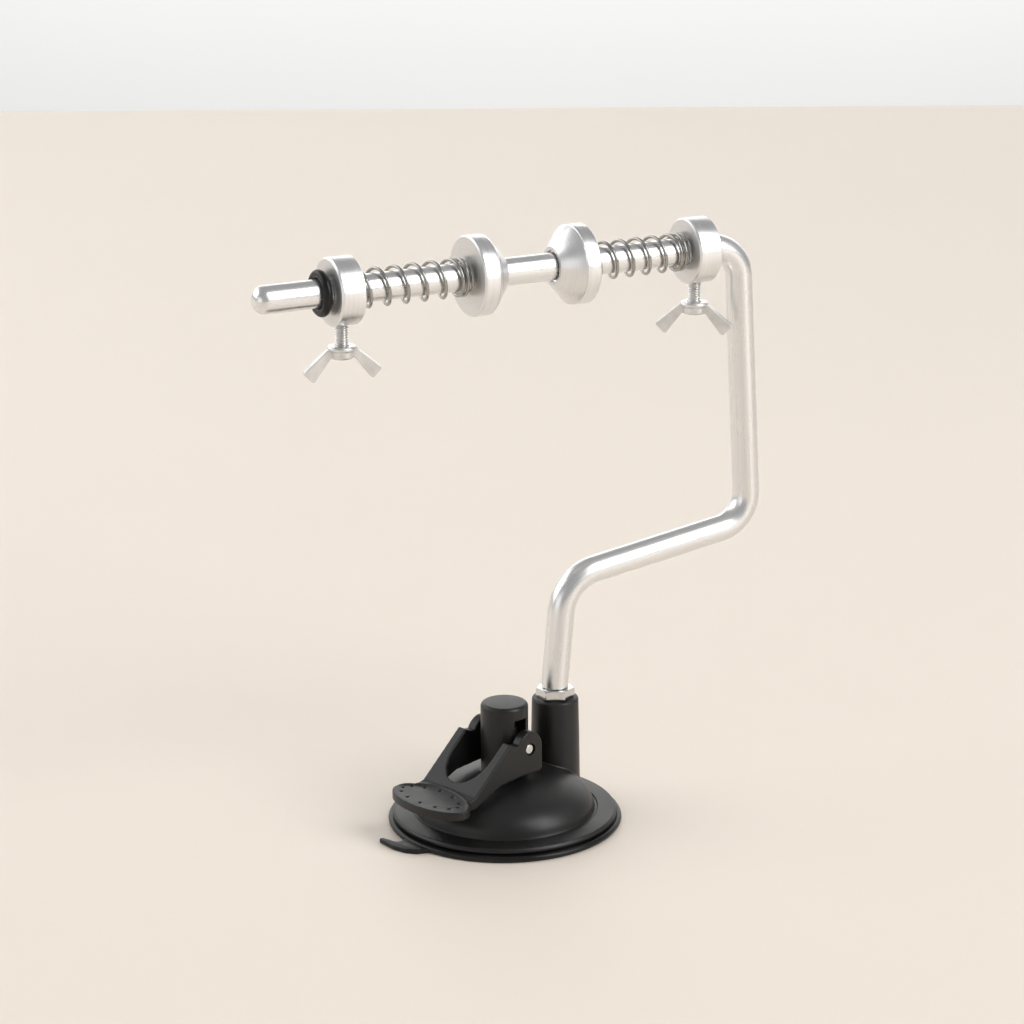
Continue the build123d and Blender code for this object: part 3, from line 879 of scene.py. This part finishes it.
class MakeRing(bpy.types.Operator):
    """Stretches the rubber ring on the axle beside the left collar"""

    bl_idname = "winder.make_ring"
    bl_label = "Rubber ring"

    def execute(self, context):
        low, high = BOX["retaining_ring"]
        middle, section = (low[0] + high[0]) / 2, (high[0] - low[0]) / 2
        # A circle of the section's radius about (middle, out), carried round the axle.
        angle = round_the_turn(28)
        along, out = middle + section * np.cos(angle), (high[1] - low[1]) / 2 - section
        profile = np.stack([along, out + section * np.sin(angle)], axis=1)
        ring = add_object("rubber_ring", turned("rubber_ring", profile, AXLE, EAST, ring=True))
        settle(ring, "left_clamp", "retaining_ring", black_rubber(), "retaining_ring")
        return {"FINISHED"}


class MakeScrews(bpy.types.Operator):
    """Cuts the two threaded studs and softens the two cast wing heads"""

    bl_idname = "winder.make_screws"
    bl_label = "Wing screws"

    def execute(self, context):
        for side in SIDES:
            node = f"{side}_screw_stud"
            low, high = BOX[node][:, 2]
            stud = threaded(node, (SCREW_X[side], AXLE_Y, low), high - low, major=4.0, pitch=0.7)
            stud = add_object(f"{side}_stud_thread", stud)
            settle(stud, f"{side}_stud", node, cut_thread(), node)
            node = f"{side}_wing_head"
            head = softened(f"{side}_wing_cast", node, voxel=0.13, passes=5)
            finish = plated_steel("cast wing", rough=0.34, specks=1500.0, depth=0.02)
            settle(head, f"{side}_wing", node, finish, node)
        return {"FINISHED"}


class MakePad(bpy.types.Operator):
    """Moulds the suction pad: a ring with a rolled lip and a pull tab, and a middle that is a piece
    of its own
    """

    bl_idname = "winder.make_pad"
    bl_label = "Suction pad"

    def execute(self, context):
        cup, bead, top, land, clear = 34.3, 0.95, 2.35, 26.5, 0.02
        # The lip is half a circle of the bead's radius, and the ring's profile runs on to it.
        roll = np.linspace(pi / 2, -pi / 2, 14)
        lip = np.stack([bead + bead * np.sin(roll), cup - bead + bead * np.cos(roll)], axis=1)
        shoulder = [(top, land, 0), (top, 31.0, 0.3), (1.75, 32.7, 0.25), (1.9, 33.35, 0)]
        shoulder = rounded(shoulder, 4, closed=False)
        profile = np.concatenate([[(clear, land)], shoulder, lip[1:]])
        ring = add_object("pad_ring", turned("pad_ring", profile, CUP, UP, 256, ring=True))
        settle(ring, "base", "suction_pad", black_rubber(), "suction_pad")

        hub, rise, cavity, vaulted = 10.0, 2.6, 2.4, 1.4
        height = top + rise
        over = [
            (height, 0),
            (height, 9.6),
            (top + 2.3, 10.2),
            (top + 0.15, 12.6),
            (top, 13.4),
            (top, land - clear),
        ]
        # Hollow: vaulted * sin + cavity / 2 * (1 - cos), over half a turn from the land to the hub.
        vault = np.linspace(0, pi, 12)
        hollow = vaulted * np.sin(vault) + cavity / 2 * (1 - np.cos(vault))
        hollow = np.clip(hollow, clear, cavity)
        under = np.stack([hollow, land - (land - hub) * vault / pi], axis=1)
        profile = np.concatenate([over, under, [(cavity, 0)]])
        heart = add_object("pad_middle", turned("pad_middle", profile, CUP, UP, 128))
        settle(heart, "base", "suction_pad", black_rubber(), "suction_pad")
        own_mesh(heart)

        turn, middle, thick = radians(190.0), 0.72, 1.36
        out = np.array([cos(turn), sin(turn), 0])
        beside = np.array([-sin(turn), cos(turn), 0])
        outline = [                             # outwards from the rim, sideways, radius
            (-2.2, 8.0, 0.6),
            (2.4, 6.0, 1.0),
            (4.6, 3.0, 1.0),
            (5.7, -1.0, 1.0),
            (5.7, -7.8, 0.4),
            (4.4, -7.8, 0.4),
            (2.85, -1.8, 1.6),
            (-2.2, -4.2, 0.8),
        ]
        at = cup * out + middle * UP
        tab = prism("pull_tab", rounded(outline, 5), at, out, beside, UP, thick)
        tab = eased(add_object("pull_tab", tab), 0.3, 3, 50)
        settle(tab, "base", "suction_pad", black_rubber())
        return {"FINISHED"}


class MakeHousing(bpy.types.Operator):
    """Moulds the housing: flange, dome and slotted boss in one shell, and the rod's post"""

    bl_idname = "winder.make_housing"
    bl_label = "Housing"

    dome = 26.2, 4.2, 11.5      # radius, foot and rise
    flange = 2.4, 0.12          # foot, and the step from the dome's foot down to its top

    def execute(self, context):
        shell = add_object("housing_shell", self.shell())
        wide, low, high, ease = 2.3, 18.6, 32.6, 0.3
        slot = [(-wide, low, ease), (wide, low, ease), (wide, high, ease), (-wide, high, ease)]
        cut(shell, prism("slot", rounded(slot, 4), CUP, AHEAD, UP, ACROSS, 20.0))
        settle(shell, "base", "housing", black_plastic(), "housing")
        post = add_object("housing_post", self.post())
        settle(post, "base", "housing", black_plastic())
        return {"FINISHED"}

    def shell(self):
        """Flange, dome and boss. The dome is (foot + rise * sin, dome * cos) outside, and inside
        it is the same with the inner rise and radius."""
        (dome, foot, rise), (under, ledge) = self.dome, self.flange
        inner, inner_rise, bore = 24.2, 9.5, 4.08
        boss, top, cap = 6.95, BOX["housing"][1][2], 3.2
        boss_foot = foot + rise * (1 - (boss / dome) ** 2) ** 0.5
        outside = [(top, 0, 0), (top, boss, 1.2), (boss_foot, boss, 0.7)]
        arc = np.linspace(radians(71.3), radians(4.0), 40)
        crown = np.stack([foot + rise * np.sin(arc), dome * np.cos(arc), 0 * arc], axis=1)
        step = [
            (foot + 0.1, dome + 0.1, 0.2),
            (foot - 0.45, dome + 0.3, 0.15),
            (foot - 0.45, dome + 0.95, 0.15),
            (foot - ledge, dome + 1.15, 0.2),
            (3.72, 32.3, 0.35),
            (3.05, 32.8, 0.35),
            (under, 32.75, 0.1),
            (under, inner, 0),
        ]
        arc = np.linspace(0, radians(80.2), 24)
        vault = np.stack([foot + inner_rise * np.sin(arc), inner * np.cos(arc), 0 * arc], axis=1)
        inside = [(foot + inner_rise * 0.985, bore, 0), (top - cap, bore, 0.2), (top - cap, 0, 0)]
        corners = np.concatenate([outside, crown, step, vault, inside])
        return turned("housing_shell", rounded(corners, 6, closed=False), CUP, UP, 256)

    def post(self):
        """Post with a draft, a blind hole for the insert and a foot that flares onto the dome.

        The foot's rows lie flare * (1 - sin) out of the wall and flare * (1 - cos) over the ground.
        """
        (dome, foot, rise), (under, ledge) = self.dome, self.flange
        turns = round_the_turn(192)
        reach, flare, draft, sunk = 21.1, 0.7, tan(radians(1.3)), 0.5
        neck, wall, mouth, hole, hole_foot = 6.9, 20.0, 4.9, 4.66, 20.7
        top = BOX["threaded_insert"][1][2]
        radius = neck + draft * (top - 11.0)

        def ground(distance):
            """Height of the dome or the flange at a distance from the post's axis, all round it."""
            away = np.hypot(reach + distance * np.cos(turns), distance * np.sin(turns))
            on_dome = foot + rise * np.sqrt(np.clip(1 - (away / dome) ** 2, 0, 1))
            return np.where(away < dome, on_dome, foot - ledge - (away - dome) * 0.07)

        widest = radius + flare
        rows = [(0, under), (radius - 0.4, under), (widest, ground(widest) - sunk)]
        for share in np.linspace(0, pi / 2, 8):
            away = radius + flare * (1 - np.sin(share))
            rows.append((away, ground(away) + flare * (1 - np.cos(share))))
        rim = [
            (wall, neck + draft * (top - wall), 0),
            (top, neck, 0.7),
            (top, mouth, 0.12),
            (top - 0.25, hole, 0),
            (hole_foot, hole, 0),
            (hole_foot, 0, 0),
        ]
        lowest, *others = rounded(rim, 6, closed=False)
        rows.append((lowest[1], np.maximum(lowest[0], rows[-1][1] + 0.05)))
        rows += [(away, height) for height, away in others]
        distance, height = (np.stack([row[i] + 0 * turns for row in rows]) for i in (0, 1))
        spoke = np.cos(turns)[:, None] * AHEAD + np.sin(turns)[:, None] * ACROSS
        grid = reach * AHEAD + distance[..., None] * spoke + height[..., None] * UP
        return skin("housing_post", grid)


class MakeInsert(bpy.types.Operator):
    """Turns the brass insert in the post"""

    bl_idname = "winder.make_insert"
    bl_label = "Threaded insert"

    def execute(self, context):
        low, high = BOX["threaded_insert"]
        radius, thread, chamfer = (high[0] - low[0]) / 2, 3.03, 0.4
        shape = [
            (low[2], thread, 0),
            (low[2], radius, 0.1),
            (high[2], radius, 0.15),
            (high[2], 3.4, 0.05),
            (high[2] - chamfer, thread, 0),
        ]
        at = (POST[0], POST[1], 0)
        insert = turned("brass_insert", rounded(shape, 3), at, UP, 96, ring=True)
        insert = add_object("brass_insert", insert)
        settle(insert, "base", "threaded_insert", turned_brass(), "threaded_insert")
        return {"FINISHED"}


class MakeStem(bpy.types.Operator):
    """Moulds the pull stem with its disc, and turns the pivot pin"""

    bl_idname = "winder.make_stem"
    bl_label = "Pull stem and pin"

    def execute(self, context):
        low, high = BOX["pull_stem"][:, 2]
        disc, shaft, thick = 9.0, 4.0, 2.0
        shape = [
            (low, 0, 0),
            (low, disc, 0.3),
            (low + thick, disc, 0.3),
            (low + thick, shaft, 0.5),
            (high, shaft, 0.5),
            (high, 0, 0),
        ]
        stem = turned("pull_stem", rounded(shape, 5, closed=False), CUP, UP, 96)
        stem = add_object("pull_stem_moulded", stem)
        cut(stem, drill("hole", 1.52, -9.0, 9.0, PIN, HINGE))
        settle(stem, "stem", "pull_stem", black_plastic(), "pull_stem")
        half, radius, ease = 10.5, 1.5, 0.3
        shape = [(-half, 0, 0), (-half, radius, ease), (half, radius, ease), (half, 0, 0)]
        pin = turned("pivot_pin", rounded(shape, 5, closed=False), PIN, HINGE, 64)
        pin = add_object("pivot_pin_turned", pin)
        finish = plated_steel("bright pin", rough=0.22, specks=2500.0, depth=0.004)
        settle(pin, "stem", "pivot_pin", finish, "pivot_pin")
        return {"FINISHED"}


class MakeLever(bpy.types.Operator):
    """Softens the locking lever's edges and presses the pits and the ridge into its paddle"""

    bl_idname = "winder.make_lever"
    bl_label = "Locking lever"

    def execute(self, context):
        top = PIN[2] - 9.7                                      # of the paddle
        centre, half, inner_end = (-29.6, 0.0), (7.0, 14.6), -21.8
        ring, middle = (4.8, 11.3), (centre[0] + 0.3, centre[1] + 0.6)
        pit_width, ridge_at, ridge_width = 0.42, 0.95, 0.06
        depth, height = size("pit_depth"), size("ridge")
        step = round_the_turn(12) + 0.07
        ahead, across = middle[0] + ring[0] * np.cos(step), middle[1] + ring[1] * np.sin(step)
        pits = np.stack([ahead, across], axis=1)

        def press(place):
            """Each pit lowers the top by depth * exp(-(distance / pit width)^2), and the inner edge
            stands up by height * exp(-((share of the way out - ridge at) / ridge width)^2)."""
            flat, over = place[:, :2], place[:, 2] - top
            away = ((flat[:, None] - pits[None]) ** 2).sum(axis=2)
            pit = depth * np.exp(-away / pit_width**2).sum(axis=1)
            out = np.hypot((flat[:, 0] - centre[0]) / half[0], (flat[:, 1] - centre[1]) / half[1])
            inner = np.clip((flat[:, 0] - centre[0]) / 2.0, 0, 1)
            ridge = height * np.exp(-(((out - ridge_at) / ridge_width) ** 2)) * inner
            near_top = np.clip((over + 0.6) / 0.3, 0, 1) * (over < 1.1) * (flat[:, 0] < inner_end)
            place[:, 2] += (ridge - pit) * near_top
            return place

        lever = softened("lever_moulded", "lever", 0.24, 6, BASE_TURN, press)
        recess, ear = 1.85, (10.1, 12.0)                        # round each end of the pin
        cut(lever, *(drill("rim", recess, *ear, PIN, way * HINGE) for way in (1, -1)))
        shade(lever.data, 60)
        settle(lever, "lever", "lever", black_plastic(), "lever")
        return {"FINISHED"}


# ---------------------------------------------------------------- studio, in metres
def plain(name, base, rough):
    """Plain sheet with a very faint cloud in its colour."""
    made = Finish(name, rough, 0.0, base)
    made.tint(cloud(made.tree, made.place, 3.0, 2.0), scaled(base, 0.985), scaled(base, 1.015))
    return made.material


def softbox(name, at, toward, across, power):
    """Lamp with a rectangular face, aimed from one point at another."""
    light = bpy.data.lights.new(name, "AREA")
    light.shape, light.size, light.size_y = "RECTANGLE", *across
    light.energy = power
    aim = (Vector(toward) - Vector(at)).to_track_quat("-Z", "Y")
    add_object(name, light).matrix_world = Matrix.Translation(at) @ aim.to_matrix().to_4x4()


class SetStudio(bpy.types.Operator):
    """Lays the pale table before a white wall, hangs the soft lamps and sets the camera"""

    bl_idname = "winder.set_studio"
    bl_label = "Studio"

    def execute(self, context):
        scene = context.scene
        studio = scene.winder_studio
        heading, below_level, roll = radians(-27.88), 16.59, radians(-0.35)
        eye, eye_height = np.array([-0.38035, -0.72454, 0.0]), 0.33786
        view = np.array([-sin(heading), cos(heading), 0.0])
        right = np.array([cos(heading), sin(heading), 0.0])

        def sheet(name, corners, finish):
            """Flat sheet: floor below the camera + ahead * view + aside * right + height * up."""
            mesh = bpy.data.meshes.new(name)
            places = [tuple(eye + a * view + b * right + c * UP) for a, b, c in corners]
            mesh.from_pydata(places, [], [(0, 1, 2, 3)])
            mesh.materials.append(finish)
            return add_object(name, mesh)

        near, edge, half = -1.8, 2.16, 3.0
        table = [(near, -half, 0), (edge, -half, 0), (edge, half, 0), (near, half, 0)]
        floor = sheet("table_top", table, plain("pale table", tuple(studio.floor), 0.55))
        away, half, low, high = 3.2, 5.0, -0.6, 1.7
        upright = [(away, -half, low), (away, half, low), (away, half, high), (away, -half, high)]
        wall = sheet("wall", upright, plain("white wall", tuple(studio.wall), 0.7))

        over = eye + 1.1 * UP
        on_wall = tuple(over + 2.3 * view), tuple(over + away * view)
        side = 0.22 * studio.fill
        softbox("key_lamp", (0.95, -1.5, 1.25), (0.0, 0.0, 0.1), (0.95, 1.9), studio.key)
        softbox("fill_lamp", (-1.0, 1.0, 0.85), (0.0, 0.1, 0.1), (1.6, 1.1), studio.fill)
        softbox("side_lamp", (-1.6, -0.5, 0.35), (0.0, 0.0, 0.14), (1.2, 0.8), side)
        softbox("wall_lamp", *on_wall, (3.4, 1.0), studio.back)

        scene.world = bpy.data.worlds.new("room")
        scene.world.use_nodes = True
        room = scene.world.node_tree.nodes["Background"]
        room.inputs["Color"].default_value = (1.0, 1.0, 1.0, 1)
        room.inputs["Strength"].default_value = studio.room

        data = bpy.data.cameras.new("camera")
        data.lens, data.sensor_width = 104.97, 36.0
        data.clip_start, data.clip_end = 0.01, 50.0
        camera = add_object("camera", data)
        place = Matrix.Translation((eye[0], eye[1], eye_height))
        for angle, axis in ((heading, "Z"), (radians(90 - below_level), "X"), (roll, "Z")):
            place = place @ Matrix.Rotation(angle, 4, axis)
        camera.matrix_world = place
        scene.camera = camera
        scene.view_settings.view_transform = "Standard"
        return {"FINISHED"}


# ---------------------------------------------------------------- the add-on
PIECES = (
    MakePad,
    MakeHousing,
    MakeInsert,
    MakeStem,
    MakeLever,
    MakeRod,
    MakeNut,
    MakeRing,
    MakeCollars,
    MakeCones,
    WindSprings,
    MakeScrews,
)
GROUPS = {"winder_sizes": WinderSizes, "winder_finish": WinderFinish, "winder_studio": WinderStudio}


class WinderPanel(bpy.types.Panel):
    """Lists the sizes and colours, and the steps that make the line winder"""

    bl_idname = "VIEW3D_PT_winder"
    bl_label = "Line Winder"
    bl_space_type = "VIEW_3D"
    bl_region_type = "UI"
    bl_category = "Line Winder"

    def draw(self, context):
        for name, group in GROUPS.items():
            for key in group.__annotations__:
                self.layout.prop(getattr(context.scene, name), key)
        for step in (*PIECES, SetStudio):
            self.layout.operator(step.bl_idname)


CLASSES = (*GROUPS.values(), *PIECES, SetStudio, WinderPanel)


def register():
    for made in CLASSES:
        bpy.utils.register_class(made)
    for name, group in GROUPS.items():
        setattr(bpy.types.Scene, name, bpy.props.PointerProperty(type=group))


def unregister():
    for name in GROUPS:
        delattr(bpy.types.Scene, name)
    for made in reversed(CLASSES):
        bpy.utils.unregister_class(made)


def main():
    register()
    for step in (*PIECES, SetStudio):
        family, name = step.bl_idname.split(".")
        getattr(getattr(bpy.ops, family), name)()


if __name__ == "__main__":
    main()
